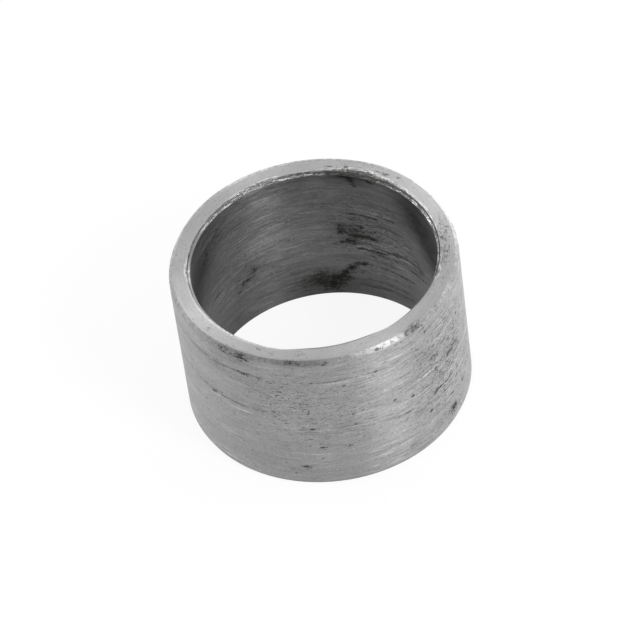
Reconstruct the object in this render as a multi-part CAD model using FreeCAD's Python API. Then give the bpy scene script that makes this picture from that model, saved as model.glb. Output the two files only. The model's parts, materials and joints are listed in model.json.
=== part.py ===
"""A plain steel spacer: one short ring cut from round tube and faced at both ends.

The upper rim has a filed bevel on its outside whose foot is softened into the wall. Its bore
mouth was opened with a deburring tool in two cuts, which left a bevel, a narrow steep step and a
thin lip at the end face. The lower rim is worn back steeply outside and lightly bevelled inside.

Frame: the origin is the centre of the lower end face, and +Z runs up the bore. Units are millimetres.
"""
import FreeCAD
import Part
import math
import os

# The tube that the ring is cut from.
outer_diameter = 31.75
wall_thickness = 2.38
length = 19.05

# Outside of the upper rim: a filed bevel, then a soft foot where it runs into the wall.
filed_bevel_width = 0.40
filed_bevel_depth = 0.40
filed_bevel_foot_radius = 0.50

# Upper bore mouth, from the bore wall outwards: bevel, steep step, lip. Widths are radial.
mouth_bevel_width = 0.24
mouth_bevel_depth = 0.18
mouth_step_width = 0.10
mouth_step_depth = 0.20
mouth_lip_width = 0.20
mouth_lip_depth = 0.03

# Lower rim: a steep worn bevel outside, rounded at both of its ends, and a plain bevel inside.
lower_worn_width = 0.31
lower_worn_depth = 0.72
lower_worn_toe_radius = 0.15
lower_worn_foot_radius = 0.50
lower_mouth_bevel_width = 0.20
lower_mouth_bevel_depth = 0.20

# Wear has rounded the two corners that stand proudest: bevel to end face, and step to lip.
worn_corner_radius = 0.03

NODE_NAME = "spacer_ring"

outer_radius = outer_diameter / 2
bore_radius = outer_radius - wall_thickness


def upper_rim_corners():
    """Corners of the section over the upper rim, from the outer wall to the bore wall."""
    step_foot_radius = bore_radius + mouth_bevel_width
    lip_inner_radius = step_foot_radius + mouth_step_width
    face_inner_radius = lip_inner_radius + mouth_lip_width
    lip_height = length - mouth_lip_depth
    step_foot_height = lip_height - mouth_step_depth
    bevel_foot_height = step_foot_height - mouth_bevel_depth
    return [
        (outer_radius, length - filed_bevel_depth, filed_bevel_foot_radius),
        (outer_radius - filed_bevel_width, length, worn_corner_radius),
        (face_inner_radius, length, 0),
        (lip_inner_radius, lip_height, worn_corner_radius),
        (step_foot_radius, step_foot_height, 0),
        (bore_radius, bevel_foot_height, 0),
    ]


def lower_rim_corners():
    """Corners of the section under the lower rim, from the bore wall to the outer wall."""
    return [
        (bore_radius, lower_mouth_bevel_depth, 0),
        (bore_radius + lower_mouth_bevel_width, 0, 0),
        (outer_radius - lower_worn_width, 0, lower_worn_toe_radius),
        (outer_radius, lower_worn_depth, lower_worn_foot_radius),
    ]


def rounded_corner(before, corner, after, radius):
    """Where an arc of this radius leaves and meets the two straight sides, and its middle point."""
    towards_before = (before - corner).normalize()
    towards_after = (after - corner).normalize()
    half_angle = towards_before.getAngle(towards_after) / 2
    tangent_length = radius / math.tan(half_angle)
    bisector = (towards_before + towards_after).normalize()
    centre_distance = radius / math.sin(half_angle)
    return (
        corner + towards_before * tangent_length,
        corner + bisector * (centre_distance - radius),
        corner + towards_after * tangent_length,
    )


def closed_section(corners):
    """The section of the wall as a face: straight sides between the corners, joined by their arcs."""
    points = [FreeCAD.Vector(radius, 0, height) for radius, height, _ in corners]
    starts = []
    ends = []
    arcs = []
    for index, (_, _, rounding) in enumerate(corners):
        before = points[index - 1]
        after = points[(index + 1) % len(points)]
        if rounding:
            start, middle, end = rounded_corner(before, points[index], after, rounding)
            arcs.append(Part.Arc(start, middle, end).toShape())
        else:
            start = end = points[index]
            arcs.append(None)
        starts.append(start)
        ends.append(end)
    edges = []
    for index, arc in enumerate(arcs):
        if arc:
            edges.append(arc)
        next_start = starts[(index + 1) % len(starts)]
        edges.append(Part.LineSegment(ends[index], next_start).toShape())
    return Part.Face(Part.Wire(edges))


def spacer_ring():
    """The section turned once about the bore's axis."""
    section = closed_section(upper_rim_corners() + lower_rim_corners())
    origin = FreeCAD.Vector(0, 0, 0)
    bore_axis = FreeCAD.Vector(0, 0, 1)
    full_turn = 360
    return section.revolve(origin, bore_axis, full_turn)


def main():
    os.makedirs("parts", exist_ok=True)
    ring = spacer_ring()
    ring.exportStep(os.path.join("parts", NODE_NAME + ".step"))
    print(NODE_NAME, ring.ShapeType, "valid", ring.isValid(), "volume", round(ring.Volume, 2))


main()
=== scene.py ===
import functools
import json
import math

import bpy
import numpy as np
from mathutils import Matrix, Vector


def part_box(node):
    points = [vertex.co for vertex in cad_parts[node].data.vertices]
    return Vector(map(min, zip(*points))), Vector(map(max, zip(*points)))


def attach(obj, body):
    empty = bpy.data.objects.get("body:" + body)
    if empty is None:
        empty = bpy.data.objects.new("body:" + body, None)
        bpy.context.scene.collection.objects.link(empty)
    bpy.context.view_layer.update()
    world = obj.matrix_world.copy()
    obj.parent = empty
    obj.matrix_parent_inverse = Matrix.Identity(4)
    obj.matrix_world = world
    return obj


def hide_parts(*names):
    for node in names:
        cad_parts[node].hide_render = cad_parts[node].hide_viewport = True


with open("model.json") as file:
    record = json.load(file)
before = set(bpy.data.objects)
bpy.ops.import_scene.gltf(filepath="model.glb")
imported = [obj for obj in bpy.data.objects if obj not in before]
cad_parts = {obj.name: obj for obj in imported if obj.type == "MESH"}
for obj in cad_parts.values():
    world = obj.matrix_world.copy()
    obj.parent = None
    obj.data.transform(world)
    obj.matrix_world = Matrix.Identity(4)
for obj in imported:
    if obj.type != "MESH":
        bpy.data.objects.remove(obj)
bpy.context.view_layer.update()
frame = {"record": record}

mm = 0.001  # the scene is in metres, and every size below is in millimetres


# Node helpers

def findInput(node, key):
    if isinstance(key, int):
        return node.inputs[key]
    for socket in node.inputs:
        if socket.identifier == key:
            return socket
    return node.inputs[key]


def plug(tree, socket, value):
    if isinstance(value, bpy.types.Node):
        value = value.outputs[0]
    if isinstance(value, bpy.types.NodeSocket):
        tree.links.new(value, socket)
    else:
        socket.default_value = value


def wire(tree, kind, inputs, **settings):
    node = tree.nodes.new(kind)
    for name, value in settings.items():
        setattr(node, name, value)
    for key, value in inputs.items():
        plug(tree, findInput(node, key), value)
    return node


def treeOf(*values):
    # the tree that the linked values belong to
    return next(value.id_data for value in values if isinstance(value, bpy.types.NodeSocket))


def calc(operation, *values):
    node = wire(treeOf(*values), "ShaderNodeMath", dict(enumerate(values)), operation=operation)
    return node.outputs[0]


def product(*values):
    return functools.reduce(lambda result, value: calc("MULTIPLY", result, value), values)


def greatest(*values):
    return functools.reduce(lambda result, value: calc("MAXIMUM", result, value), values)


def gain(field, amount):
    # one plus this share of the field, to multiply by
    return calc("MULTIPLY_ADD", field, amount, 1.0)


def calcVector(operation, *values):
    node = wire(treeOf(*values), "ShaderNodeVectorMath", dict(enumerate(values)), operation=operation)
    asNumber = operation in ("LENGTH", "DISTANCE", "DOT_PRODUCT")
    return node.outputs["Value" if asNumber else "Vector"]


def scaled(vector, factor):
    inputs = {"Vector": vector, "Scale": factor}
    return wire(vector.id_data, "ShaderNodeVectorMath", inputs, operation="SCALE").outputs["Vector"]


def joined(**parts):
    return wire(treeOf(*parts.values()), "ShaderNodeCombineXYZ", parts).outputs[0]


def split(vector):
    return wire(vector.id_data, "ShaderNodeSeparateXYZ", {"Vector": vector}).outputs


def fade(value, low, high, start=0.0, end=1.0):
    node = wire(treeOf(value), "ShaderNodeMapRange", {
        "Value": value, "From Min": low, "From Max": high, "To Min": start, "To Max": end,
    }, interpolation_type="SMOOTHSTEP")
    return node.outputs["Result"]


def blend(share, first, second):
    inputs = {"Factor_Float": share, "A_Float": first, "B_Float": second}
    return wire(treeOf(share), "ShaderNodeMix", inputs).outputs[0]


def noise(vector, scale=1.0, detail=2.0, roughness=0.5):
    node = wire(vector.id_data, "ShaderNodeTexNoise", {
        "Vector": vector, "Scale": scale, "Detail": detail, "Roughness": roughness,
    })
    return node.outputs["Fac"]


# The ring: one section turned about the bore's axis. Every length, factor and count is an input of
# its tree.

ringSizes = {
    # millimetres
    "lengths": {
        "Filed Bevel Width": 0.40,
        "Filed Bevel Depth": 0.40,
        "Filed Bevel Foot": 0.50,
        "Mouth Bevel Width": 0.24,
        "Mouth Bevel Depth": 0.18,
        "Mouth Step Width": 0.10,
        "Mouth Step Depth": 0.20,
        "Mouth Lip Width": 0.20,
        "Mouth Lip Depth": 0.03,
        "Lower Bevel Width": 0.31,
        "Lower Bevel Depth": 0.72,
        "Lower Bevel Toe": 0.15,
        "Lower Bevel Foot": 0.50,
        "Lower Mouth Bevel": 0.20,
        "Edge Wear": 0.03,
        "Wall Row": 0.25,         # mesh row heights
        "Bore Row": 0.26,
        "Rim Row": 0.12,
        "Long Stretch": 3.0,      # a straight side longer than this is a wall
        "Bevel Wander": 0.06,     # how far the hand-filed bevel strays
        "Bevel Zone": 1.1,
        "Mouth Wander": 0.05,
        "Mouth Zone": 0.8,
        "Wall Ripple": 0.006,     # what the lathe left
        "Wall Skin": 0.02,
        "Far Bevel Width": 0.12,  # the file hardly touched the far side
        "Rim Full": 0.9,          # the change is full up to here, from the wall inwards
        "Rim Gone": 1.4,          # and has run out here
        "Rim Reach": 1.3,
        "Top Full": 1.0,          # the same, from the end face down
        "Top Gone": 3.0,
        "Bore Full": 0.7,         # the same, from the bore outwards
        "Bore Gone": 1.1,
        "Bore Skin": 0.2,
    },
    "factors": {
        "Bevel Waves": 2.6,
        "Bevel Detail": 3.0,
        "Mouth Waves": 7.0,
        "Mouth Detail": 4.0,
        "Mouth Rag": 0.6,
        "Ripple Detail": 3.0,
        "Far Side From": 0.35,    # how far north the narrowing starts and is full
        "Far Side Full": 0.85,
        "Mouth Spared": 0.65,     # how much of the mouth cut is missing on the near side
        "Near Side From": 0.90,   # cosine of the angle to the spared place
        "Near Side Full": 0.98,
        "Rim Slope": 0.25,        # steeper faces of the upper rim take the wall's finish
        "Flat Slope": 0.9,
    },
    "counts": {
        "Segments": 446,
        "Arc Points": 3,
        "Seed": 7,
    },
    "sharpEdge": 40.0,  # degrees
}

sparedTowards = (0.087, -0.996, 0.0)  # where the mouth was hardly cut
rippleWaves = (1.5, 1.5, 700.0)       # waves a metre, so the ripple is close together up the wall

boreMount = next(mount for mount in frame["record"]["mounts"] if mount["name"] == "bore")
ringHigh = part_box("spacer_ring")[1]
outerRadius = min(ringHigh.x, ringHigh.y) / mm
boreRadius = boreMount["dims"]["r_mm"]
ringLength = ringHigh.z / mm


def turnedRingTree(inputs, materials):
    tree = bpy.data.node_groups.new("turnedRing", "GeometryNodeTree")
    for name, value in inputs.items():
        kind = "NodeSocketInt" if isinstance(value, int) else "NodeSocketFloat"
        tree.interface.new_socket(name, in_out="INPUT", socket_type=kind)
    tree.interface.new_socket("Geometry", in_out="OUTPUT", socket_type="NodeSocketGeometry")
    size = tree.nodes.new("NodeGroupInput").outputs
    outer, bore, top, worn = (size[name] for name in ("Outer Radius", "Bore Radius", "Length", "Edge Wear"))

    # corners of the section, from the foot of the filed bevel over the upper rim and down the bore
    stepFoot = calc("ADD", bore, size["Mouth Bevel Width"])
    lipInner = calc("ADD", stepFoot, size["Mouth Step Width"])
    faceInner = calc("ADD", lipInner, size["Mouth Lip Width"])
    bevelFootHeight = calc("SUBTRACT", top, size["Filed Bevel Depth"])
    bevelTopRadius = calc("SUBTRACT", outer, size["Filed Bevel Width"])
    lipHeight = calc("SUBTRACT", top, size["Mouth Lip Depth"])
    stepFootHeight = calc("SUBTRACT", lipHeight, size["Mouth Step Depth"])
    boreTop = calc("SUBTRACT", stepFootHeight, size["Mouth Bevel Depth"])
    lowerFaceInner = calc("ADD", bore, size["Lower Mouth Bevel"])
    lowerFaceOuter = calc("SUBTRACT", outer, size["Lower Bevel Width"])
    corners = [
        (outer, bevelFootHeight, size["Filed Bevel Foot"]),
        (bevelTopRadius, top, worn),
        (faceInner, top, worn),
        (lipInner, lipHeight, worn),
        (stepFoot, stepFootHeight, worn),
        (bore, boreTop, worn),
        (bore, size["Lower Mouth Bevel"], worn),
        (lowerFaceInner, 0.0, worn),
        (lowerFaceOuter, 0.0, size["Lower Bevel Toe"]),
        (outer, size["Lower Bevel Depth"], size["Lower Bevel Foot"]),
    ]

    def byCorner(column):
        node = tree.nodes.new("GeometryNodeIndexSwitch")
        node.data_type = "FLOAT"
        while len(node.index_switch_items) < len(corners):
            node.index_switch_items.new()
        plug(tree, node.inputs["Index"], tree.nodes.new("GeometryNodeInputIndex").outputs[0])
        for index, corner in enumerate(corners):
            plug(tree, node.inputs[index + 1], corner[column])
        return node.outputs[0]

    line = wire(tree, "GeometryNodeMeshLine", {"Count": len(corners)})
    fromWall = calc("SUBTRACT", byCorner(0), outer)
    fromFloor = calc("MULTIPLY", byCorner(1), -1.0)  # the sweep carries the section upside down
    spot = joined(X=fromWall, Y=fromFloor)
    section = wire(tree, "GeometryNodeSetPosition", {"Geometry": line, "Position": spot})
    section = wire(tree, "GeometryNodeMeshToCurve", {"Mesh": section})
    section = wire(tree, "GeometryNodeSetSplineCyclic", {"Geometry": section, "Cyclic": True})
    section = wire(tree, "GeometryNodeFilletCurve", {
        "Curve": section, "Count": size["Arc Points"], "Radius": byCorner(2),
        "Limit Radius": True}, mode="POLY")

    # rows: close together on the rims, wider apart on the two walls
    here = tree.nodes.new("GeometryNodeInputPosition").outputs[0]
    nextPoint = wire(tree, "GeometryNodeOffsetPointInCurve", {"Offset": 1})
    there = wire(tree, "GeometryNodeFieldAtIndex", {"Index": nextPoint.outputs["Point Index"]},
                 data_type="FLOAT_VECTOR", domain="POINT")
    plug(tree, there.inputs["Value"], here)
    stretch = calcVector("DISTANCE", here, there.outputs["Value"])
    middle = calc("MULTIPLY", calc("SUBTRACT", bore, outer), 0.5)
    onOuterHalf = calc("GREATER_THAN", split(here)["X"], middle)
    longRow = blend(onOuterHalf, size["Bore Row"], size["Wall Row"])
    isLong = calc("GREATER_THAN", stretch, size["Long Stretch"])
    row = blend(isLong, size["Rim Row"], longRow)
    cuts = calc("FLOOR", calc("DIVIDE", stretch, row))
    section = wire(tree, "GeometryNodeSubdivideCurve", {"Curve": section, "Cuts": cuts})

    # the section carried once round the circle of the outer wall
    circle = wire(tree, "GeometryNodeCurvePrimitiveCircle", {
        "Resolution": size["Segments"], "Radius": outer}, mode="RADIUS")
    circle = wire(tree, "GeometryNodeSetCurveNormal", {"Curve": circle.outputs["Curve"]}, mode="Z_UP")
    ring = wire(tree, "GeometryNodeCurveToMesh", {"Curve": circle, "Profile Curve": section})

    # hand work: the bevel and the bore mouth wander, and the wall has the lathe's faint ripple
    place = tree.nodes.new("GeometryNodeInputPosition").outputs[0]
    across, along, up = split(place)
    flat = joined(X=across, Y=along)
    radius = calcVector("LENGTH", flat)
    outward = calcVector("NORMALIZE", flat)
    turn = calcVector("ADD", outward, size["Seed"])

    def within(value, edge, zone):
        # fades in from a zone's width away up to the edge itself
        return fade(value, calc("SUBTRACT", edge, zone), edge)

    inBevel = product(within(radius, outer, size["Bevel Zone"]), within(up, top, size["Bevel Zone"]))
    bevelWaves = noise(turn, size["Bevel Waves"], size["Bevel Detail"])
    bevelCut = product(inBevel, size["Bevel Wander"], bevelWaves)
    mouthEdge = calc("ADD", bore, size["Mouth Zone"])
    inMouth = product(fade(radius, mouthEdge, bore), within(up, top, size["Mouth Zone"]))
    mouthWaves = noise(turn, size["Mouth Waves"], size["Mouth Detail"], size["Mouth Rag"])
    mouthCut = product(inMouth, size["Mouth Wander"], mouthWaves)
    rippleAt = calcVector("MULTIPLY", calcVector("ADD", turn, place), rippleWaves)
    onWall = within(radius, outer, size["Wall Skin"])
    ripple = product(onWall, size["Wall Ripple"], noise(rippleAt, detail=size["Ripple Detail"]))
    outwardBy = calc("SUBTRACT", mouthCut, calc("ADD", bevelCut, ripple))
    downBy = calc("MULTIPLY", calc("ADD", mouthCut, bevelCut), -1.0)
    shift = calcVector("ADD", scaled(outward, outwardBy), joined(Z=downBy))
    ring = wire(tree, "GeometryNodeSetPosition", {"Geometry": ring, "Offset": shift})

    def reached(depth, cut, reach):
        # how far a cut is filled at this depth: all of it at its foot, and nothing from reach on
        rise = calc("MINIMUM", calc("DIVIDE", depth, cut), 1.0)
        return product(rise, cut, fade(depth, cut, reach, 1.0, 0.0))

    # the filed bevel narrows towards the far side
    fromTop = calc("SUBTRACT", top, up)
    fromRim = calc("SUBTRACT", outer, radius)
    nearTop = fade(fromTop, size["Top Full"], size["Top Gone"], 1.0, 0.0)
    nearRim = fade(fromRim, size["Rim Full"], size["Rim Gone"], 1.0, 0.0)
    leftOver = calc("DIVIDE", size["Far Bevel Width"], size["Filed Bevel Width"])
    farSide = fade(split(outward)["Y"], size["Far Side From"], size["Far Side Full"])
    unfiled = product(farSide, calc("SUBTRACT", 1.0, leftOver))
    lift = product(unfiled, nearRim, reached(fromTop, size["Filed Bevel Depth"], size["Top Gone"]))
    widen = product(unfiled, nearTop, reached(fromRim, size["Filed Bevel Width"], size["Rim Reach"]))

    # the mouth was hardly cut on the near side
    fromBore = calc("SUBTRACT", radius, bore)
    nearBore = fade(fromBore, size["Bore Full"], size["Bore Gone"], 1.0, 0.0)
    mouthWidth = calc("SUBTRACT", faceInner, bore)
    mouthDepth = calc("SUBTRACT", top, boreTop)
    towards = calcVector("DOT_PRODUCT", outward, sparedTowards)
    nearSide = fade(towards, size["Near Side From"], size["Near Side Full"])
    spared = product(nearSide, size["Mouth Spared"])
    fill = product(spared, nearBore, reached(fromTop, mouthDepth, size["Top Gone"]))
    narrow = product(spared, nearTop, reached(fromBore, mouthWidth, size["Bore Gone"]))

    outwardBy = calc("SUBTRACT", widen, narrow)
    upBy = calc("ADD", lift, fill)
    shift = calcVector("ADD", scaled(outward, outwardBy), joined(Z=upBy))
    ring = wire(tree, "GeometryNodeSetPosition", {"Geometry": ring, "Offset": shift})
    ring = wire(tree, "GeometryNodeSetShadeSmooth", {"Geometry": ring, "Shade Smooth": True})
    ring = wire(tree, "GeometryNodeRealizeInstances", {"Geometry": ring})
    ring = wire(tree, "GeometryNodeFlipFaces", {"Mesh": ring})

    # the end faces and the upper rim's slopes take the face finish, and the bore its own
    facing = split(tree.nodes.new("GeometryNodeInputNormal").outputs[0])
    level = calc("ABSOLUTE", facing["Z"])
    inUpperHalf = calc("GREATER_THAN", up, calc("MULTIPLY", top, 0.5))
    onUpperRim = product(calc("GREATER_THAN", level, size["Rim Slope"]), inUpperHalf)
    onFace = calc("MAXIMUM", calc("GREATER_THAN", level, size["Flat Slope"]), onUpperRim)
    inBore = calc("LESS_THAN", radius, calc("ADD", bore, size["Bore Skin"]))
    for material, selection in (("wall", True), ("bore", inBore), ("face", onFace)):
        ring = wire(tree, "GeometryNodeSetMaterial", {
            "Geometry": ring, "Selection": selection, "Material": materials[material]})
    wire(tree, "NodeGroupOutput", {"Geometry": ring})
    return tree


def turnRing(materials):
    lengths = {"Outer Radius": outerRadius, "Bore Radius": boreRadius, "Length": ringLength}
    lengths.update(ringSizes["lengths"])
    inputs = {name: length * mm for name, length in lengths.items()}
    inputs.update(ringSizes["factors"])
    inputs.update(ringSizes["counts"])
    tree = turnedRingTree(inputs, materials)
    blank = bpy.data.objects.new("turnedRingBlank", bpy.data.meshes.new("turnedRingBlank"))
    bpy.context.collection.objects.link(blank)
    turning = blank.modifiers.new("turnedRing", "NODES")
    turning.node_group = tree
    for socket in tree.interface.items_tree:
        if socket.in_out == "INPUT":
            turning[socket.identifier] = inputs[socket.name]
    shape = bpy.data.meshes.new_from_object(blank.evaluated_get(bpy.context.evaluated_depsgraph_get()))
    blank.modifiers.remove(turning)
    bpy.data.objects.remove(blank)
    ring = bpy.data.objects.new("turned_ring", shape)
    bpy.context.collection.objects.link(ring)
    return ring


# Marks placed one by one: degrees round the ring from +X, and millimetres. On the face, heights run
# outwards from its middle.

ringMarks = {
    # angle, height, half length, half height, strength and, where the mark leans, its tilt
    "stain": {
        "bore": [
            (84, 2.4, 4.6, 2.2, 0.38), (81.6, 1.7, 2.2, 1.9, 0.82),
            (87.5, 3.2, 2.2, 1.2, 0.5, -15), (77, 3, 2, 1, 0.76, -25),
            (72, 4.3, 1.5, 0.8, 0.8, -30), (66, 5.1, 1.8, 0.46, 1, -3),
            (66, 3.8, 1.1, 0.35, 0.55), (92, 2.2, 2.2, 1.3, 0.42),
            (70, 9.9, 2.6, 2.2, 0.47), (75, 10.4, 0.9, 1.4, 0.62),
            (70, 8.5, 1.6, 0.9, 0.62), (29, 15.6, 4.4, 1.9, 0.32, 49),
            (67.5, 18.1, 1.5, 0.7, 0.9, 50), (70.5, 18.5, 3, 0.5, 0.85),
            (57, 18.4, 2.4, 0.4, 0.6), (31, 8.3, 1.6, 1.5, 0.5),
            (140, 16.5, 3.6, 1.1, 0.45, -30), (150, 15, 3, 1.4, 0.34, -20),
            (124.5, 6.3, 1.4, 0.9, 0.62), (119.5, 7.2, 1.2, 0.7, 0.6),
            (130, 5.4, 1, 0.5, 0.5), (146, 8.1, 1.3, 0.7, 0.45),
            (-60, 7, 4, 1.6, 0.6), (-135, 12, 3, 1, 0.55),
        ],
        "wall": [
            (-52.5, 18.8, 1.5, 0.6, 0.42), (-35.5, 2.3, 1.2, 1, 0.45),
            (-45.4, 12.5, 0.9, 0.9, 0.35, 20), (-24.7, 4.3, 0.5, 0.5, 0.45),
            (-127, 18.5, 2, 0.9, 0.3), (-135, 18.7, 1.2, 0.6, 0.35),
            (-126, 16.1, 1.6, 0.4, 0.4), (-143, 10.8, 0.9, 0.45, 0.36),
            (-103, 18.9, 1.6, 0.4, 0.26), (-104.2, 2.8, 0.8, 0.5, 0.45),
            (-96.4, 5.7, 0.6, 0.45, 0.38), (-86.3, 5.6, 0.7, 0.4, 0.38),
            (40, 12.5, 1.5, 0.35, 0.85), (88, 6.2, 0.5, 0.5, 0.7),
            (131, 14.8, 2, 0.4, 0.6), (171, 5, 0.8, 0.5, 0.55),
        ],
        "face": [
            (7.3, 0.33, 0.35, 0.32, 0.42), (4.5, 0.03, 0.4, 0.3, 0.46),
            (-0.3, -0.32, 0.4, 0.3, 0.4), (-6.9, -0.2, 0.45, 0.4, 0.48),
            (1.9, -0.52, 0.4, 0.3, 0.42), (-13.8, -0.31, 0.5, 0.4, 0.46),
            (-22.9, -0.12, 0.4, 0.3, 0.42), (-19.4, -0.76, 0.6, 0.4, 0.52),
            (69.9, -0.22, 0.4, 0.3, 0.45), (55.5, 0.05, 0.6, 0.3, 0.55),
            (51.2, 0.03, 0.7, 0.3, 0.6), (45.2, 0.35, 0.3, 0.28, 0.5),
            (77.7, -0.25, 0.7, 0.25, 0.42), (71, -0.62, 1.3, 0.24, 0.62),
            (63.5, -0.6, 1.5, 0.3, 0.66), (55.5, -0.66, 1.2, 0.26, 0.62),
            (47, -0.72, 1.3, 0.22, 0.55), (-113.1, 0.15, 0.6, 0.3, 0.3),
            (-119.2, -0.21, 0.6, 0.3, 0.3), (-101, -0.2, 1, 0.45, 0.32),
            (-145.2, 0.21, 0.6, 0.3, 0.36),
        ],
    },
    # grime and painted shade: smudges round the stains, and painted shade over the bore's dark bands
    "grime": {
        "bore": [
            (29, 15.4, 7, 3.4, 1, 49), (18, 13, 3.5, 6, 0.7),
            (150, 15, 6, 3.6, 0.75, -30), (165, 12, 4, 6, 0.45),
            (82, 1.5, 8, 3.4, 0.85), (72, 9.6, 3.4, 2.6, 0.55),
            (68, 18.2, 4, 1.4, 0.8), (34, 8, 3, 3, 0.45),
            (124, 6.6, 2.6, 1.6, 0.35), (-80, 9, 9, 6, 0.4),
            (148, 10.5, 6.5, 5, 0.42),
        ],
        "wall": [
            (-127, 18.2, 3.4, 1.5, 0.45), (-100, 18.6, 4.4, 0.9, 0.4),
            (-135, 15.6, 5, 1.4, 0.25), (-52.5, 18.8, 1.9, 0.9, 0.5),
            (-31, 10.8, 2.2, 0.9, 0.45), (-35.5, 2.3, 2, 1.8, 0.45),
            (-104, 2.6, 2, 1.2, 0.25), (-45, 13, 2.4, 3, 0.3, 30),
            (88, 8, 5, 4, 0.3),
        ],
        "face": [
            (-5, -0.3, 3.6, 0.7, 0.18), (62, -0.9, 4, 0.6, 0.5),
        ],
    },
    "pitZone": {
        "wall": [
            (-36, 10.5, 10, 13, 1.18), (-95, 11.5, 9, 8, 0.68),
            (-113, 13.5, 5, 4, 0.7), (60, 8, 8, 9, 0.9),
            (150, 12, 7, 7, 0.7),
        ],
        "face": [
            (-2, -0.3, 8, 1.5, 1.35), (60, -0.6, 6, 1.8, 0.8),
            (-66, 1.15, 3.6, 0.7, 0.95),
        ],
        "bore": [
            (60, 10, 7, 8, 1), (125, 7, 6, 5, 0.7),
        ],
    },
    "chippedMouth": {
        "face": [
            (76, -1.05, 2.8, 0.55, 0.95), (65, -0.9, 2.6, 0.85, 1.3),
            (58, -0.85, 1.6, 0.95, 1.2), (48, -1, 2.8, 0.7, 1.1),
            (36, -1.05, 3, 0.6, 1), (22, -1.08, 3, 0.55, 0.9),
            (8, -1.1, 3.2, 0.45, 0.8), (-8, -1.1, 3, 0.45, 0.6),
            (-20, -0.95, 1.6, 0.6, 0.9), (90, -1.05, 3, 0.4, 0.7),
            (107, -1.05, 2.6, 0.55, 1.4), (115, -1.05, 2.6, 0.55, 1.4),
            (124, -1.08, 2.4, 0.45, 0.9), (140, -1.1, 3.4, 0.35, 0.55),
            (176, -0.85, 2.2, 0.35, 0.6),
        ],
    },
    # the same, with a depth for the strength
    "dents": {
        "wall": [
            (-31.5, 10.75, 1.5, 0.35, 0.05), (-43, 7.35, 1, 0.35, 0.04),
            (-35.7, 15.7, 0.5, 0.6, 0.05, 10), (-25, 14.7, 0.5, 0.5, 0.05, -35),
            (-109, 1.7, 0.35, 0.35, 0.05), (-52.5, 18.9, 0.8, 0.4, 0.06),
        ],
        "face": [
            (-116.5, -1.05, 0.35, 0.35, 0.16), (64, -1.15, 2.4, 0.5, 0.1),
            (50, -1.15, 1.2, 0.45, 0.08),
        ],
    },
    # height, from and to in degrees, half width, strength
    "pitMark": [
        (10.72, -44.7, -42.7, 0.24, 1), (15.69, -73.3, -70.9, 0.2, 0.95),
        (15.56, -76.2, -74.8, 0.18, 0.7), (14.2, -47.4, -45.3, 0.3, 0.7),
        (9.41, -58.4, -56, 0.22, 1), (10.3, -66.6, -64.5, 0.24, 0.85),
        (10.67, -56.4, -54.5, 0.16, 0.7), (9.37, -51, -49, 0.16, 0.75),
        (14.26, -25.8, -23.6, 0.3, 0.8), (17.2, -48.5, -46.5, 0.2, 0.95),
        (15.01, -86.2, -84.2, 0.17, 0.95), (14.39, -54.2, -52.6, 0.16, 0.6),
        (16.2, -146, -142, 0.14, 0.55), (16.05, -136, -132.2, 0.18, 0.65),
        (16.25, -129, -125.4, 0.2, 0.7), (16.15, -125.6, -121.2, 0.2, 0.64),
        (16.01, -119.9, -117, 0.18, 0.82), (18.32, -134.8, -132.2, 0.2, 0.6),
        (18.4, -129, -126.4, 0.22, 0.52), (18.06, -120.8, -119, 0.16, 0.5),
        (17.72, -122, -119.6, 0.16, 0.5), (10.47, -147.4, -144.8, 0.2, 0.55),
        (10.71, -144, -141.4, 0.24, 0.75), (11.24, -139.8, -136.8, 0.16, 0.55),
        (17.31, -111, -108.8, 0.14, 0.45), (16.87, -103.6, -100.8, 0.16, 0.6),
        (16.6, -99.4, -97, 0.18, 0.5), (10.4, -84.2, -81.8, 0.26, 0.8),
        (8.76, -100.8, -98.2, 0.16, 0.9), (1.72, -110, -107.6, 0.22, 0.75),
        (9.31, -92.5, -86, 0.12, 0.6), (14.4, -103.4, -99.8, 0.15, 0.55),
        (14.37, -98, -95.4, 0.15, 0.6), (14.31, -90, -87.4, 0.15, 0.6),
        (12.1, -105.6, -101.6, 0.15, 0.5), (5.24, -50, -47.8, 0.34, 0.9),
        (2.35, -37, -34.6, 0.45, 0.6), (18.7, -56, -54.2, 0.14, 0.56),
        (18.78, -52.8, -49.7, 0.24, 0.62), (18.4, -49.4, -47.7, 0.22, 0.75),
        (18.48, -54.6, -52.4, 0.14, 0.8), (18.52, -131.2, -128.2, 0.18, 0.7),
        (18.72, -128.2, -124.2, 0.22, 0.58), (18.85, -125, -122.8, 0.16, 0.5),
        (18.8, -137.2, -134.8, 0.18, 0.6), (18.81, -106, -103.4, 0.16, 0.6),
        (18.84, -103.8, -100.8, 0.18, 0.62), (18.53, -93.4, -90.8, 0.15, 0.7),
    ],
    "pitSpread": 1.5,  # a pit fades out at this many half widths
    "skins": {"wall": 0.6, "bore": 0.3, "face": 0.5},
}


def vertexPlaces(ring):
    places = np.empty(len(ring.data.vertices) * 3)
    ring.data.vertices.foreach_get("co", places)
    return places.reshape(-1, 3)


def onSurface(places, surface):
    skin = ringMarks["skins"][surface]
    if surface == "face":
        return places[:, 2] / mm > ringLength - skin
    radius = np.hypot(places[:, 0], places[:, 1]) / mm
    return radius > outerRadius - skin if surface == "wall" else radius < boreRadius + skin


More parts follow.
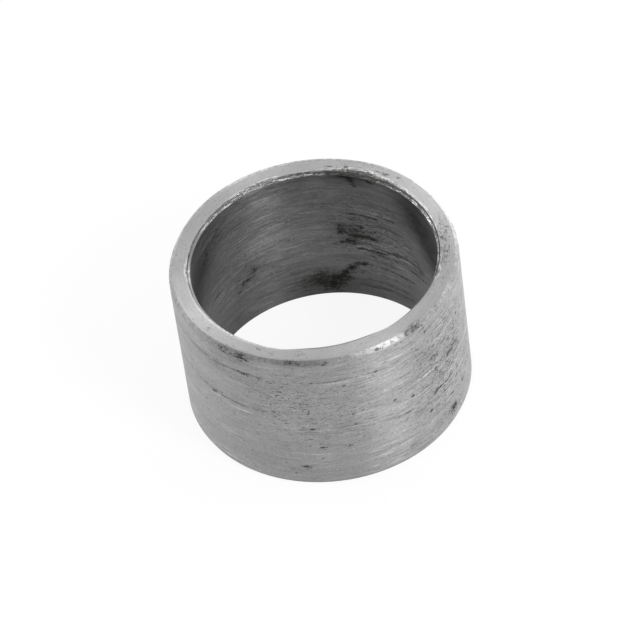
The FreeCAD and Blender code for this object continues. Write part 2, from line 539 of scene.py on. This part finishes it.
def markField(places, surface, angle, height, halfLength, halfHeight, amount, tilt=0.0):
    radius = np.hypot(places[:, 0], places[:, 1]) / mm
    turned = np.degrees(np.arctan2(places[:, 1], places[:, 0])) - angle
    turned = (turned + 180.0) % 360.0 - 180.0
    along = np.radians(turned) * radius
    up = places[:, 2] / mm - height
    if surface == "face":
        up = radius - (boreRadius + outerRadius) / 2 - height
    lean = math.radians(tilt)
    a = (along * math.cos(lean) + up * math.sin(lean)) / halfLength
    b = (up * math.cos(lean) - along * math.sin(lean)) / halfHeight
    inside = np.clip(1.0 - np.hypot(a, b), 0.0, 1.0)
    return np.where(onSurface(places, surface), inside, 0.0) * amount


def pitField(places, at, start, stop, halfWidth, strength):
    angles = np.degrees(np.arctan2(places[:, 1], places[:, 0]))
    along = (angles - (start + stop) / 2) / (stop - start) * 2
    up = (places[:, 2] / mm - at) / halfWidth
    spread = ringMarks["pitSpread"]
    return np.clip(spread - np.hypot(along, up), 0.0, spread) * strength * onSurface(places, "wall")


def fieldsOf(places, marks):
    return [markField(places, surface, *mark) for surface in marks for mark in marks[surface]]


def pressDents(ring):
    places = vertexPlaces(ring)
    normals = np.empty(len(ring.data.vertices) * 3, np.float32)
    ring.data.vertices.foreach_get("normal", normals)
    pressed = np.max(fieldsOf(places, ringMarks["dents"]), axis=0)
    places = places - normals.reshape(-1, 3) * pressed[:, None] * mm
    ring.data.vertices.foreach_set("co", places.ravel())
    ring.data.update()


def keepField(ring, name, field):
    attribute = ring.data.attributes.new(name, "FLOAT", "POINT")
    attribute.data.foreach_set("value", field.astype(np.float32))


def keepMarks(ring, name, marks):
    clear = [1.0 - np.clip(mark, 0.0, 1.0) for mark in fieldsOf(vertexPlaces(ring), marks)]
    keepField(ring, name, 1.0 - np.prod(clear, axis=0))


def keepPits(ring, name, pits):
    places = vertexPlaces(ring)
    keepField(ring, name, np.max([pitField(places, *pit) for pit in pits], axis=0))


# Finishes: three kinds of bare steel. Scores are dark single marks that follow the turning, and glints are
# bright ones,
# painted highlights along the turning: height, from and to in degrees, half width, strength.

wallFinish = {
    "tone": 0.39,
    "cloud": 0.14,
    "streaks": 0.28,
    "lines": 0.66,
    "mottle": 0.10,
    "fleckTone": 0.07,
    "glint": 0.70,
    "stainTone": (0.060, 0.059, 0.055),
    "stainGrain": 5.6,
    "stainSoft": 0.34,
    "stainRag": 4.4,
    "lowTone": 0.92,
    # painted shade along the wall's lower edge
    "edgeTone": 0.70,
    # painted sheen: the east side of the wall lighter
    "sideTone": 1.15,
    "roughness": 0.45,
    "anisotropy": 0.86,
    "grooveDepth": 0.012,
    "seed": 2.0,
    "scores": [
        (16.15, -172, -117, 0.26, 0.42), (15.95, -103, -80, 0.16, 0.45),
        (11.1, -172, -138, 0.32, 0.36), (10.85, -142, -116, 0.26, 0.42),
        (15.7, -77, -60, 0.13, 0.42), (7.95, -112, -60, 0.1, 0.3),
        (8.8, -92, -80, 0.13, 0.7), (7.5, -67, -56, 0.13, 0.8),
        (7.38, -47.6, -33, 0.19, 1), (10.88, -36.5, -25.5, 0.15, 0.9),
        (10.72, -36.8, -31.5, 0.3, 0.95), (15.98, -37.2, -32.5, 0.22, 0.8),
        (4.7, -38.5, -30, 0.14, 0.7), (12.4, -46, -41, 0.14, 0.65),
        (13.42, -39.8, -34, 0.14, 0.65), (4.3, -62, -42, 0.1, 0.35),
        (2.65, -50, -40, 0.12, 0.7), (1.6, -78, -52, 0.1, 0.3),
        (3.6, -80, -58, 0.1, 0.3), (13.1, -64, -46, 0.12, 0.45),
        (17.3, -60, -40, 0.12, 0.4), (9.9, -44, -24, 0.12, 0.5),
        (6.1, -46, -20, 0.12, 0.45), (12.4, 20, 70, 0.12, 0.6),
        (5.6, 60, 118, 0.14, 0.5), (15.3, 110, 165, 0.12, 0.5),
        (2.9, 130, 172, 0.1, 0.4),
    ],
    "glints": [
        (16.4, -74, -52, 0.1, 0.4), (14.1, -74, -52, 0.1, 0.5),
        (12.3, -74, -50, 0.1, 0.5), (9.1, -72, -46, 0.1, 0.5),
        (6.8, -76, -50, 0.1, 0.45), (5.3, -72, -52, 0.1, 0.5),
        (3.2, -76, -54, 0.1, 0.5), (14.9, -50, -28, 0.1, 0.45),
        (11.8, -44, -22, 0.1, 0.45), (8.2, -40, -18, 0.1, 0.45),
        (13.6, -116, -104, 0.1, 0.45), (10.2, 60, 110, 0.1, 0.5),
    ],
}

faceFinish = {
    "tone": 0.62,
    "cloud": 0.07,
    "streaks": 0.08,
    "lines": 0.14,
    "mottle": 0.10,
    "fleckTone": 0.20,
    "stainTone": (0.10, 0.10, 0.095),
    "stainGrain": 6.4,
    "stainSoft": 0.40,
    "stainRag": 4.2,
    "lowTone": 1.0,
    "edgeTone": 1.0,
    "sideTone": 1.0,
    "roughness": 0.42,
    "anisotropy": 0.80,
    "grooveDepth": 0.005,
    "seed": 31.0,
    "scores": [],
    "glints": [],
    "rim": {
        "cutSide": (-0.75, -0.35),        # how far north the mouth's cut starts and is full
        "nearMouthTone": 0.60,
        "mouthTone": 0.45,
        "mouthSoft": 0.12,
        # a painted shadow of the step, in the corner at its foot
        "stepDirtInner": (-0.03, 0.02),   # from the step's foot outwards
        "stepDirtOuter": (0.10, 0.16, 1.0, 0.0),
        "stepDirtBreaks": (0.34, 0.50, 0.25, 1.0),
        "stepDirtCover": 0.85,
        "chipPush": 0.28,
        "chipLevel": (0.62, 0.70),
        "chipCover": 0.9,
        "chipDepth": 11.0,
        # painted sparkle on the chips: the colour lifted as a highlight
        "sparkleLevel": (0.46, 0.56),
        "sparkleReach": 1.5,
        "sparkleTone": 3.4,
        "sparkleRough": -0.20,
        "brightest": 0.95,
        "bevelEdge": (-0.08, 0.04),       # from the bevel's upper edge outwards
        # painted shade on the near left
        "bevelTone": 0.68,                # on the shaded side
        # painted side light on the bevel: darker at the side, lighter on the far side
        "sideBevelTone": 0.77,
        "farBevelTone": 1.12,
        "shadedEast": (0.25, 0.70, 1.0, 0.0),
        "shadedNorth": (-0.60, -0.10, 1.0, 0.0),
        "farNorth": (-0.20, 0.30),
        # a painted highlight on the bevel
        "litBevelAt": -65.0,              # degrees round the ring
        "litBevelReach": 9.0,
        "litBevelTone": 1.36,
        "filingTone": (0.36, 0.64, 0.78, 1.18),
        "filingRough": 0.22,
        "filingDepth": 7.0,
    },
}

boreFinish = {
    # painted darker than the other steel, as painted shade in the bore
    "tone": 0.182,
    "cloud": 0.30,
    "streaks": 0.80,
    "lines": 0.74,
    "mottle": 0.14,
    "fleckTone": 0.04,
    "glint": 0.80,
    "stainTone": (0.024, 0.024, 0.019),
    "stainGrain": 2.6,
    "stainSoft": 0.80,
    "stainRag": 3.4,
    "lowTone": 0.63,
    "edgeTone": 1.0,
    "sideTone": 1.0,
    "roughness": 0.42,
    "anisotropy": 0.86,
    "grooveDepth": 0.014,
    "seed": 57.0,
    "scores": [
        (7.62, 50, 69, 0.2, 0.95), (8.05, 43, 61, 0.2, 0.8),
        (8.3, 30, 50, 0.2, 0.8), (7.2, 44, 62, 0.14, 0.6),
        (8.35, 66, 77.5, 0.3, 0.85), (9.48, 56, 73, 0.36, 0.95),
        (10.92, 62, 76.5, 0.2, 0.9), (10.25, 64, 77, 0.16, 0.7),
        (12, 65, 73, 0.16, 0.75), (12.8, 54, 71, 0.18, 0.85),
        (13.3, 44, 57, 0.18, 0.75), (11.7, 40, 58, 0.14, 0.5),
        (10.6, 34, 60, 0.16, 0.45), (18.2, 103, 126, 0.14, 0.55),
        (17.4, 96, 112, 0.1, 0.4), (15.2, 118, 142, 0.12, 0.45),
        (16.1, 134, 160, 0.25, 0.55), (17.1, 130, 156, 0.22, 0.6),
        (9.4, 106, 126, 0.2, 0.4), (5.2, 100, 128, 0.14, 0.4),
        (1.9, 36, 70, 0.3, 0.45), (2.8, 40, 66, 0.25, 0.4),
        (6, 44, 64, 0.16, 0.4), (5.1, 34, 58, 0.16, 0.55),
        (6.9, 24, 40, 0.2, 0.55), (6.9, -140, -90, 0.25, 0.5),
        (11.4, -80, -20, 0.3, 0.5), (15.2, -170, -120, 0.2, 0.5),
    ],
    "glints": [
        (7.9, 28, 69, 0.12, 0.9), (8.82, 36, 68, 0.12, 0.9),
        (8.6, 16, 36, 0.16, 0.8), (6.5, 20, 50, 0.14, 0.6),
        (5.5, 28, 54, 0.12, 0.55), (4.2, 38, 60, 0.12, 0.5),
        (13.6, 46, 66, 0.12, 0.6), (14.8, 40, 60, 0.1, 0.5),
        (9.9, 38, 56, 0.12, 0.55), (12.2, 36, 54, 0.12, 0.5),
        (12.6, 104, 130, 0.12, 0.55), (10.8, 108, 138, 0.12, 0.55),
        (8.9, 104, 136, 0.12, 0.45), (7.2, 102, 128, 0.12, 0.45),
        (14.4, 108, 142, 0.12, 0.6), (15.9, 112, 138, 0.1, 0.55),
        (16.9, 100, 124, 0.1, 0.45), (17.8, 78, 96, 0.1, 0.4),
        (15.6, 74, 92, 0.1, 0.4), (13.2, 76, 96, 0.12, 0.4),
    ],
}

# marks that run round the ring: waves round it, marks a millimetre across, detail, roughness, seed
latheMarks = {
    "broad": (2.5, 0.4, 3.0, 0.55, 0.0),
    "streaks": (2.6, 1.5, 5.0, 0.68, 3.0),
    "lines": (7.0, 6.0, 3.0, 0.75, 5.0),
    "scratches": (2.2, 6.5, 2.0, 0.50, 7.0),
    "patches": (4.0, 0.45, 3.0, 0.55, 9.0),
    "flecks": (19.0, 6.0, 3.0, 0.65, 11.0),
    "rag": (12.0, 3.2, 5.0, 0.70, 17.0),
    "waver": (4.0, 0.3, 4.0, 0.55, 0.0),
    "breaks": (20.0, 4.0, 4.0, 0.70, 5.0),
    "stepDirt": (16.0, 1.0, 3.0, 0.55, 71.0),
    "chips": (46.0, 4.5, 4.0, 0.75, 83.0),
    "sparkle": (15.0, 4.0, 4.0, 0.75, 91.0),
}

# marks with no direction: how many a millimetre, detail, roughness
spotMarks = {
    "crumbs": (4.5, 2.0, 0.60),
    "mottle": (0.55, 4.0, 0.60),
    "pits": (2.6, 4.0, 0.70),
    "grit": (6.5, 2.0, 0.60),
    "sparks": (4.0, 2.0, 0.50),
    "filing": (1.7, 5.0, 0.72),
}

# how far a worn zone pushes each noise up, the levels it fades between and, if not 0 and 1, their values
wornLevels = {
    "patches": (0.07, 0.36, 0.66, 0.40, 1.40),
    "flecks": (0.095, 0.635, 0.69),
    "pits": (0.105, 0.69, 0.735),
    "grit": (0.085, 0.66, 0.72),
}

steelSizes = {
    "runPerRadius": 1.37,        # lets the turning go on over walls, faces and bevels alike
    "scratchLevel": (0.60, 0.74),
    "scratchTone": 0.7,
    "sparkLevel": (0.68, 0.76),
    "sparkShift": (5.0, 5.0, 5.0),
    "crumbShare": 0.4,
    "leastSwing": 0.05,
    "lowReach": (0.0, 11.0),     # heights
    "edgeReach": (0.1, 0.9),
    # how far east the painted sheen comes in
    "sideReach": (0.30, 0.75),   # how far east
    "stainDetail": (5.0, 0.75),
    "stainEdge": (0.0, 0.10),
    "stainLevel": 0.12,
    "stainCover": 0.92,
    "pitEdge": (0.0, 0.30),
    "pitRag": 2.2,
    "pitLevel": (0.45, 0.80),
    "pitCover": 0.80,
    # grime and painted shade
    "grimeRag": (0.8, 0.3),
    "grimeTone": -0.75,
    "fleckShare": 0.8,
    "gritShare": 0.75,
    "speckCover": 0.85,
    "streakRough": 0.16,
    "lineRough": 0.30,
    "markRough": 0.22,
    "streakDepth": 0.35,
    "crumbDepth": 0.35,
    "markDepth": 0.9,
    "sheenTurn": 0.25,           # the sheen runs across the grooves
}

scoreSizes = {
    "waver": 0.7,                # how far a line strays
    "rag": 0.9,                  # how rough its edges are
    "breaks": (0.38, 0.60, 0.15, 1.0),
    "edge": (1.0, 0.3),
    "longestEnd": 2.5,           # degrees over which an end fades
    "endShare": 1 / 3,
    "unbroken": 4.0,             # the higher, the fewer lines run through
    "darkSeed": 4.0,
    "brightSeed": 24.0,
}


def ringSpace(tree):
    point = scaled(tree.nodes.new("ShaderNodeTexCoord").outputs["Object"], 1 / mm)
    across, along, up = split(point)
    flat = joined(X=across, Y=along)
    radius = calcVector("LENGTH", flat)
    outward = split(calcVector("NORMALIZE", flat))
    angle = calc("MULTIPLY", calc("ARCTAN2", along, across), math.degrees(1.0))
    run = calc("MULTIPLY_ADD", radius, steelSizes["runPerRadius"], up)
    return {"point": point, "height": up, "radius": radius, "angle": angle, "run": run,
            "eastward": outward["X"], "northward": outward["Y"]}


def latheGrain(space, kind, seed=0.0):
    around, across, detail, roughness, ownSeed = latheMarks[kind]
    vector = joined(
        X=calc("MULTIPLY_ADD", space["eastward"], around, seed + ownSeed),
        Y=calc("MULTIPLY_ADD", space["northward"], around, seed + ownSeed),
        Z=calc("MULTIPLY", space["run"], across))
    return noise(vector, detail=detail, roughness=roughness)


def spotGrain(space, kind):
    return noise(space["point"], *spotMarks[kind])


def kept(tree, name):
    return wire(tree, "ShaderNodeAttribute", {}, attribute_name=name).outputs["Fac"]


def wornGrain(tree, grain, kind):
    push, *levels = wornLevels[kind]
    return fade(calc("MULTIPLY_ADD", kept(tree, "pitZone"), push, grain), *levels)


def centred(field, amount):
    # swings by half the amount to either side of nothing
    return calc("MULTIPLY_ADD", field, amount, -amount / 2)


def vary(value, field, amount):
    swing = gain(calc("MULTIPLY_ADD", field, 2.0, -1.0), amount)
    return product(value, calc("MAXIMUM", swing, steelSizes["leastSwing"]))


# one scored line, laid over those before it
def scoredLineGroup():
    tree = bpy.data.node_groups.new("scoredLine", "ShaderNodeTree")
    names = "Before Angle Height Waver Breaks At From To Ends Width Strength"
    for name in names.split():
        tree.interface.new_socket(name, in_out="INPUT", socket_type="NodeSocketFloat")
    tree.interface.new_socket("Mask", in_out="OUTPUT", socket_type="NodeSocketFloat")
    given = tree.nodes.new("NodeGroupInput").outputs
    height = calc("ADD", given["Height"], given["Waver"])
    off = calc("ABSOLUTE", calc("SUBTRACT", height, given["At"]))
    across = fade(calc("DIVIDE", off, given["Width"]), *scoreSizes["edge"])
    starts = fade(calc("SUBTRACT", given["Angle"], given["From"]), 0.0, given["Ends"])
    stops = fade(calc("SUBTRACT", given["To"], given["Angle"]), 0.0, given["Ends"])
    # the strongest lines run through, the fainter ones break up
    holds = calc("POWER", given["Strength"], scoreSizes["unbroken"])
    solid = calc("MAXIMUM", given["Breaks"], holds)
    mask = product(starts, stops, across, solid, given["Strength"])
    wire(tree, "NodeGroupOutput", {"Mask": calc("MAXIMUM", given["Before"], mask)})
    return tree


scoredLine = scoredLineGroup()


def scoredLines(tree, space, lines, seed):
    grit = latheGrain(space, "breaks", seed)
    waver = centred(latheGrain(space, "waver", seed), scoreSizes["waver"])
    waver = calc("ADD", waver, centred(grit, scoreSizes["rag"]))
    breaks = fade(grit, *scoreSizes["breaks"])
    mask = 0.0
    for at, start, stop, halfWidth, strength in lines:
        ends = min(scoreSizes["longestEnd"], (stop - start) * scoreSizes["endShare"])
        mask = wire(tree, "ShaderNodeGroup", {
            "Before": mask, "Angle": space["angle"], "Height": space["height"], "Waver": waver,
            "Breaks": breaks, "At": at, "From": start, "To": stop, "Ends": ends,
            "Width": halfWidth, "Strength": strength}, node_tree=scoredLine).outputs["Mask"]
    return mask


def darkMarks(tree, space, finish, rag):
    sizes = steelSizes
    stain = kept(tree, "stain")
    ragged = product(rag, fade(stain, *sizes["stainEdge"]))
    level = calc("MULTIPLY_ADD", ragged, finish["stainRag"], stain)
    dark = fade(level, sizes["stainLevel"], sizes["stainLevel"] + finish["stainSoft"])
    if finish["scores"]:
        dark = greatest(dark, scoredLines(tree, space, finish["scores"], scoreSizes["darkSeed"]))
    pit = kept(tree, "pitMark")
    ragged = product(rag, fade(pit, *sizes["pitEdge"]))
    pitted = fade(calc("MULTIPLY_ADD", ragged, sizes["pitRag"], pit), *sizes["pitLevel"])
    return greatest(dark, product(pitted, sizes["pitCover"]))


def bareTone(tree, space, finish, grain, crumbs):
    sizes = steelSizes
    patches = wornGrain(tree, grain["patches"], "patches")
    tone = vary(finish["tone"], grain["broad"], finish["cloud"])
    tone = vary(tone, spotGrain(space, "mottle"), finish["mottle"])
    tone = vary(tone, grain["streaks"], finish["streaks"])
    tone = vary(tone, grain["lines"], product(patches, finish["lines"]))
    tone = vary(tone, crumbs, finish["lines"] * sizes["crumbShare"])
    # scratch marks made lighter in the colour: real scratches with a painted glint
    scratches = product(fade(grain["scratches"], *sizes["scratchLevel"]), patches)
    # painted highlights: tiny bright specks lifted into the colour
    glintSpeckPoint = calcVector("ADD", space["point"], sizes["sparkShift"])
    sparks = fade(noise(glintSpeckPoint, *spotMarks["sparks"]), *sizes["sparkLevel"])
    grimeAndShadeDepth = calc("MULTIPLY_ADD", grain["rag"], *sizes["grimeRag"])
    tone = product(
        tone, gain(scratches, finish["lines"] * sizes["scratchTone"]), gain(sparks, finish["lines"]),
        fade(space["height"], *sizes["lowReach"], finish["lowTone"], 1.0),
        # painted shade along the lower edge
        fade(space["height"], *sizes["edgeReach"], finish["edgeTone"], 1.0),
        # painted sheen on the east side
        fade(space["eastward"], *sizes["sideReach"], 1.0, finish["sideTone"]),
        # darker with grime and painted shade
        gain(product(kept(tree, "grime"), grimeAndShadeDepth), sizes["grimeTone"]))
    # glints: painted highlights, bright lines lifted into the colour
    if finish["glints"]:
        bright = scoredLines(tree, space, finish["glints"], scoreSizes["brightSeed"])
        tone = product(tone, gain(bright, finish["glint"]))
    return tone


def specks(tree, space, grain):
    flecks = product(wornGrain(tree, grain["flecks"], "flecks"), steelSizes["fleckShare"])
    pits = wornGrain(tree, spotGrain(space, "pits"), "pits")
    grit = product(wornGrain(tree, spotGrain(space, "grit"), "grit"), steelSizes["gritShare"])
    return product(greatest(flecks, pits, grit), steelSizes["speckCover"])


# the deburred mouth: a darker cut, chips with a painted sparkle, and a painted shadow in the corner between
# its two cuts
def deburredMouth(tree, space, rim, look):
    foot = boreRadius + ringSizes["lengths"]["Mouth Bevel Width"]
    fromFoot = calc("SUBTRACT", space["radius"], foot)
    onCutSide = fade(space["northward"], *rim["cutSide"])
    chipped = kept(tree, "chippedMouth")
    chips = latheGrain(space, "chips")
    chipDark = fade(calc("MULTIPLY_ADD", chipped, rim["chipPush"], chips), *rim["chipLevel"])
    sparkleShare = calc("MINIMUM", product(chipped, rim["sparkleReach"]), 1.0)
    # painted sparkle: chips lifted bright in the colour, and made smoother
    sparkle = product(fade(latheGrain(space, "sparkle"), *rim["sparkleLevel"]), sparkleShare)
    # painted shadow in the step's corner
    inCorner = product(fade(fromFoot, *rim["stepDirtInner"]), fade(fromFoot, *rim["stepDirtOuter"]))
    shadeBreaks = fade(latheGrain(space, "stepDirt"), *rim["stepDirtBreaks"])
    stepDirt = product(inCorner, shadeBreaks, onCutSide, rim["stepDirtCover"])
    cutTone = blend(onCutSide, rim["nearMouthTone"], rim["mouthTone"])
    mouthTone = fade(fromFoot, 0.0, rim["mouthSoft"], cutTone, 1.0)
    tone = product(look["tone"], mouthTone, gain(sparkle, rim["sparkleTone"]))
    return {
        "tone": calc("MINIMUM", tone, rim["brightest"]),
        "rough": calc("MULTIPLY_ADD", sparkle, rim["sparkleRough"], look["rough"]),
        "dark": greatest(look["dark"], stepDirt, product(chipDark, rim["chipCover"])),
        "height": calc("MULTIPLY_ADD", product(chips, chipped), rim["chipDepth"], look["height"]),
    }


# the filed bevel: cross marks of the file, with a painted highlight at one place, painted shade on the near
# left and painted side light
def filedBevel(space, rim, look):
    north = space["northward"]
    edge = outerRadius - ringSizes["lengths"]["Filed Bevel Width"]
    onBevel = fade(calc("SUBTRACT", space["radius"], edge), *rim["bevelEdge"])
    filing = spotGrain(space, "filing")
    shaded = product(fade(space["eastward"], *rim["shadedEast"]), fade(north, *rim["shadedNorth"]))
    sideTone = fade(north, *rim["farNorth"], rim["sideBevelTone"], rim["farBevelTone"])
    # a painted highlight where the key lamp lights the bevel
    fromLit = calc("ABSOLUTE", calc("SUBTRACT", space["angle"], rim["litBevelAt"]))
    lit = fade(fromLit, 0.0, rim["litBevelReach"], rim["litBevelTone"], 1.0)
    bevelTone = product(blend(shaded, sideTone, rim["bevelTone"]), lit, fade(filing, *rim["filingTone"]))
    marks = product(onBevel, filing)
    return {
        "tone": product(look["tone"], blend(onBevel, 1.0, bevelTone)),
        "rough": calc("MULTIPLY_ADD", marks, rim["filingRough"], look["rough"]),
        "dark": look["dark"],
        "height": calc("MULTIPLY_ADD", marks, rim["filingDepth"], look["height"]),
    }


def steel(name, finish):
    sizes = steelSizes
    material = bpy.data.materials.new(name)
    material.use_nodes = True
    tree = material.node_tree
    space = ringSpace(tree)
    grain = {}
    for kind in ("broad", "streaks", "lines", "scratches", "patches", "flecks", "rag"):
        grain[kind] = latheGrain(space, kind, finish["seed"])
    crumbs = spotGrain(space, "crumbs")
    ragged = noise(space["point"], finish["stainGrain"], *sizes["stainDetail"])
    rag = calc("MULTIPLY_ADD", calc("ADD", ragged, grain["rag"]), 0.5, -0.5)

    dark = darkMarks(tree, space, finish, rag)
    speck = specks(tree, space, grain)
    tone = blend(speck, bareTone(tree, space, finish, grain, crumbs), finish["fleckTone"])
    rough = calc("ADD", centred(grain["streaks"], sizes["streakRough"]), finish["roughness"])
    rough = calc("ADD", centred(grain["lines"], sizes["lineRough"]), rough)
    rough = calc("MULTIPLY_ADD", greatest(speck, dark), sizes["markRough"], rough)
    height = calc("MULTIPLY_ADD", grain["streaks"], sizes["streakDepth"], grain["lines"])
    height = calc("MULTIPLY_ADD", crumbs, sizes["crumbDepth"], height)
    look = {"tone": tone, "rough": rough, "dark": dark, "height": height}
    if "rim" in finish:
        look = deburredMouth(tree, space, finish["rim"], look)
        look = filedBevel(space, finish["rim"], look)

    cover = product(look["dark"], sizes["stainCover"])
    colour = wire(tree, "ShaderNodeMix", {
        "Factor_Float": cover, "A_Color": look["tone"], "B_Color": (*finish["stainTone"], 1.0),
    }, data_type="RGBA").outputs["Result"]
    marked = product(greatest(speck, look["dark"]), sizes["markDepth"])
    height = calc("SUBTRACT", look["height"], marked)
    bump = wire(tree, "ShaderNodeBump", {
        "Strength": 1.0, "Distance": finish["grooveDepth"] * mm, "Height": height})
    tangent = wire(tree, "ShaderNodeTangent", {}, direction_type="RADIAL", axis="Z")
    shader = tree.nodes["Principled BSDF"]
    plug(tree, shader.inputs["Base Color"], colour)
    plug(tree, shader.inputs["Roughness"], look["rough"])
    plug(tree, shader.inputs["Normal"], bump)
    plug(tree, shader.inputs["Tangent"], tangent)
    shader.inputs["Metallic"].default_value = 1.0
    shader.inputs["Anisotropic"].default_value = finish["anisotropy"]
    shader.inputs["Anisotropic Rotation"].default_value = sizes["sheenTurn"]
    return material


ring = turnRing({
    "wall": steel("turnedWallSteel", wallFinish),
    "face": steel("facedEndSteel", faceFinish),
    # the bore's steel is painted darker, as painted shade
    "bore": steel("oiledBoreSteel", boreFinish),
})
pressDents(ring)
for field in ("stain", "grime", "pitZone", "chippedMouth"):
    keepMarks(ring, field, ringMarks[field])
keepPits(ring, "pitMark", ringMarks["pitMark"])
ring.data.set_sharp_from_angle(angle=math.radians(ringSizes["sharpEdge"]))
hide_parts("spacer_ring")
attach(ring, "root")
print("ring: triangles", sum(len(face.vertices) - 2 for face in ring.data.polygons))


# Floor, world and lamps

studioSizes = {
    "floorReach": 6000.0,
    "floorDrop": 0.02,
    "floorSeen": 0.95,        # what the eye and the steel see
    "floorGlow": 0.90,        # the share of it that is lit from within
    "floorBounce": 0.62,      # what it throws back as soft light
    "skyNorth": (-0.9, 0.5),  # where the sky turns from front to back
    "skyFront": 0.45,
    "skyBack": 0.60,
    "skyLight": 0.70,
    # angle round the ring, elevation, distance, width, height, radiance
    "lamps": {
        "keyBox": (-48.0, 40.0, 450.0, 120.0, 120.0, 21.0),
        "backBox": (80.0, 14.0, 600.0, 260.0, 200.0, 1.8),
        "rightBox": (58.0, 13.0, 600.0, 420.0, 220.0, 2.5),
        "sideBox": (8.0, 18.0, 600.0, 480.0, 280.0, 1.6),
        "leftBox": (150.0, 38.0, 600.0, 380.0, 300.0, 1.5),
    },
}


def pathSeen(tree):
    path = tree.nodes.new("ShaderNodeLightPath").outputs
    return greatest(path["Is Camera Ray"], path["Is Glossy Ray"], path["Is Transmission Ray"])


def layFloor():
    reach = studioSizes["floorReach"] / 2 * mm
    drop = -studioSizes["floorDrop"] * mm
    corners = [(-reach, -reach, drop), (reach, -reach, drop), (reach, reach, drop), (-reach, reach, drop)]
    mesh = bpy.data.meshes.new("paleFloor")
    mesh.from_pydata(corners, [], [(0, 1, 2, 3)])
    floor = bpy.data.objects.new("pale_floor", mesh)
    bpy.context.collection.objects.link(floor)
    paint = bpy.data.materials.new("palePaper")
    paint.use_nodes = True
    tree = paint.node_tree
    shader = tree.nodes["Principled BSDF"]
    shader.inputs["Roughness"].default_value = 1.0
    shader.inputs["Specular IOR Level"].default_value = 0.0
    tone = blend(pathSeen(tree), studioSizes["floorBounce"], studioSizes["floorSeen"])
    plug(tree, shader.inputs["Base Color"], tone)
    glow = wire(tree, "ShaderNodeEmission", {"Color": (1.0, 1.0, 1.0, 1.0), "Strength": 1.0})
    share = product(pathSeen(tree), studioSizes["floorGlow"])
    mixed = wire(tree, "ShaderNodeMixShader", {0: share, 1: shader.outputs[0], 2: glow.outputs[0]})
    plug(tree, tree.nodes["Material Output"].inputs["Surface"], mixed.outputs[0])
    mesh.materials.append(paint)


def hangSky():
    world = bpy.data.worlds.new("studioSky")
    bpy.context.scene.world = world
    world.use_nodes = True
    tree = world.node_tree
    toward = split(tree.nodes.new("ShaderNodeTexCoord").outputs["Generated"])
    seen = fade(toward["Y"], *studioSizes["skyNorth"], studioSizes["skyFront"], studioSizes["skyBack"])
    tone = blend(pathSeen(tree), studioSizes["skyLight"], seen)
    plug(tree, tree.nodes["Background"].inputs["Color"], tone)


def direction(angle, elevation):
    turn = math.radians(angle)
    rise = math.radians(elevation)
    return Vector((math.cos(turn) * math.cos(rise), math.sin(turn) * math.cos(rise), math.sin(rise)))


ringMiddle = Vector((0, 0, ringLength / 2 * mm))


def hangLamp(name, angle, elevation, distance, width, height, radiance):
    light = bpy.data.lights.new(name, "AREA")
    light.shape = "RECTANGLE"
    light.size = width * mm
    light.size_y = height * mm
    light.energy = radiance * math.pi * light.size * light.size_y
    lamp = bpy.data.objects.new(name, light)
    lamp.location = ringMiddle + direction(angle, elevation) * distance * mm
    lamp.rotation_euler = direction(angle, elevation).to_track_quat("Z", "Y").to_euler()
    bpy.context.collection.objects.link(lamp)


layFloor()
hangSky()
for name, values in studioSizes["lamps"].items():
    hangLamp(name, *values)
print("studio: floor, sky and", len(studioSizes["lamps"]), "lamps")


# Camera, fitted to the photograph

cameraSizes = {
    "angle": -90.0,
    "elevation": 44.92,
    "roll": -8.14,
    "distance": 476.25,
    "lens": 243.2,
    "sensor": 36.0,
    "shiftX": -0.0030,
    "shiftY": -0.0005,
    "nearest": 10.0,
    "farthest": 20000.0,
}


def setCamera():
    sizes = cameraSizes
    data = bpy.data.cameras.new("viewCamera")
    data.lens = sizes["lens"]
    data.sensor_width = sizes["sensor"]
    data.shift_x = sizes["shiftX"]
    data.shift_y = sizes["shiftY"]
    data.clip_start = sizes["nearest"] * mm
    data.clip_end = sizes["farthest"] * mm
    away = direction(sizes["angle"], sizes["elevation"])
    right = Vector((0, 0, 1)).cross(away).normalized()
    upward = away.cross(right)
    roll = math.radians(sizes["roll"])
    rolledRight = right * math.cos(roll) + upward * math.sin(roll)
    rolledUpward = upward * math.cos(roll) - right * math.sin(roll)
    turned = Matrix((rolledRight, rolledUpward, away)).transposed().to_4x4()
    camera = bpy.data.objects.new("viewCamera", data)
    camera.matrix_world = Matrix.Translation(ringMiddle + away * sizes["distance"] * mm) @ turned
    bpy.context.collection.objects.link(camera)
    bpy.context.scene.camera = camera


setCamera()
bpy.context.scene.view_settings.view_transform = "Standard"
print("camera:", cameraSizes["lens"], "mm lens at", cameraSizes["distance"], "mm")
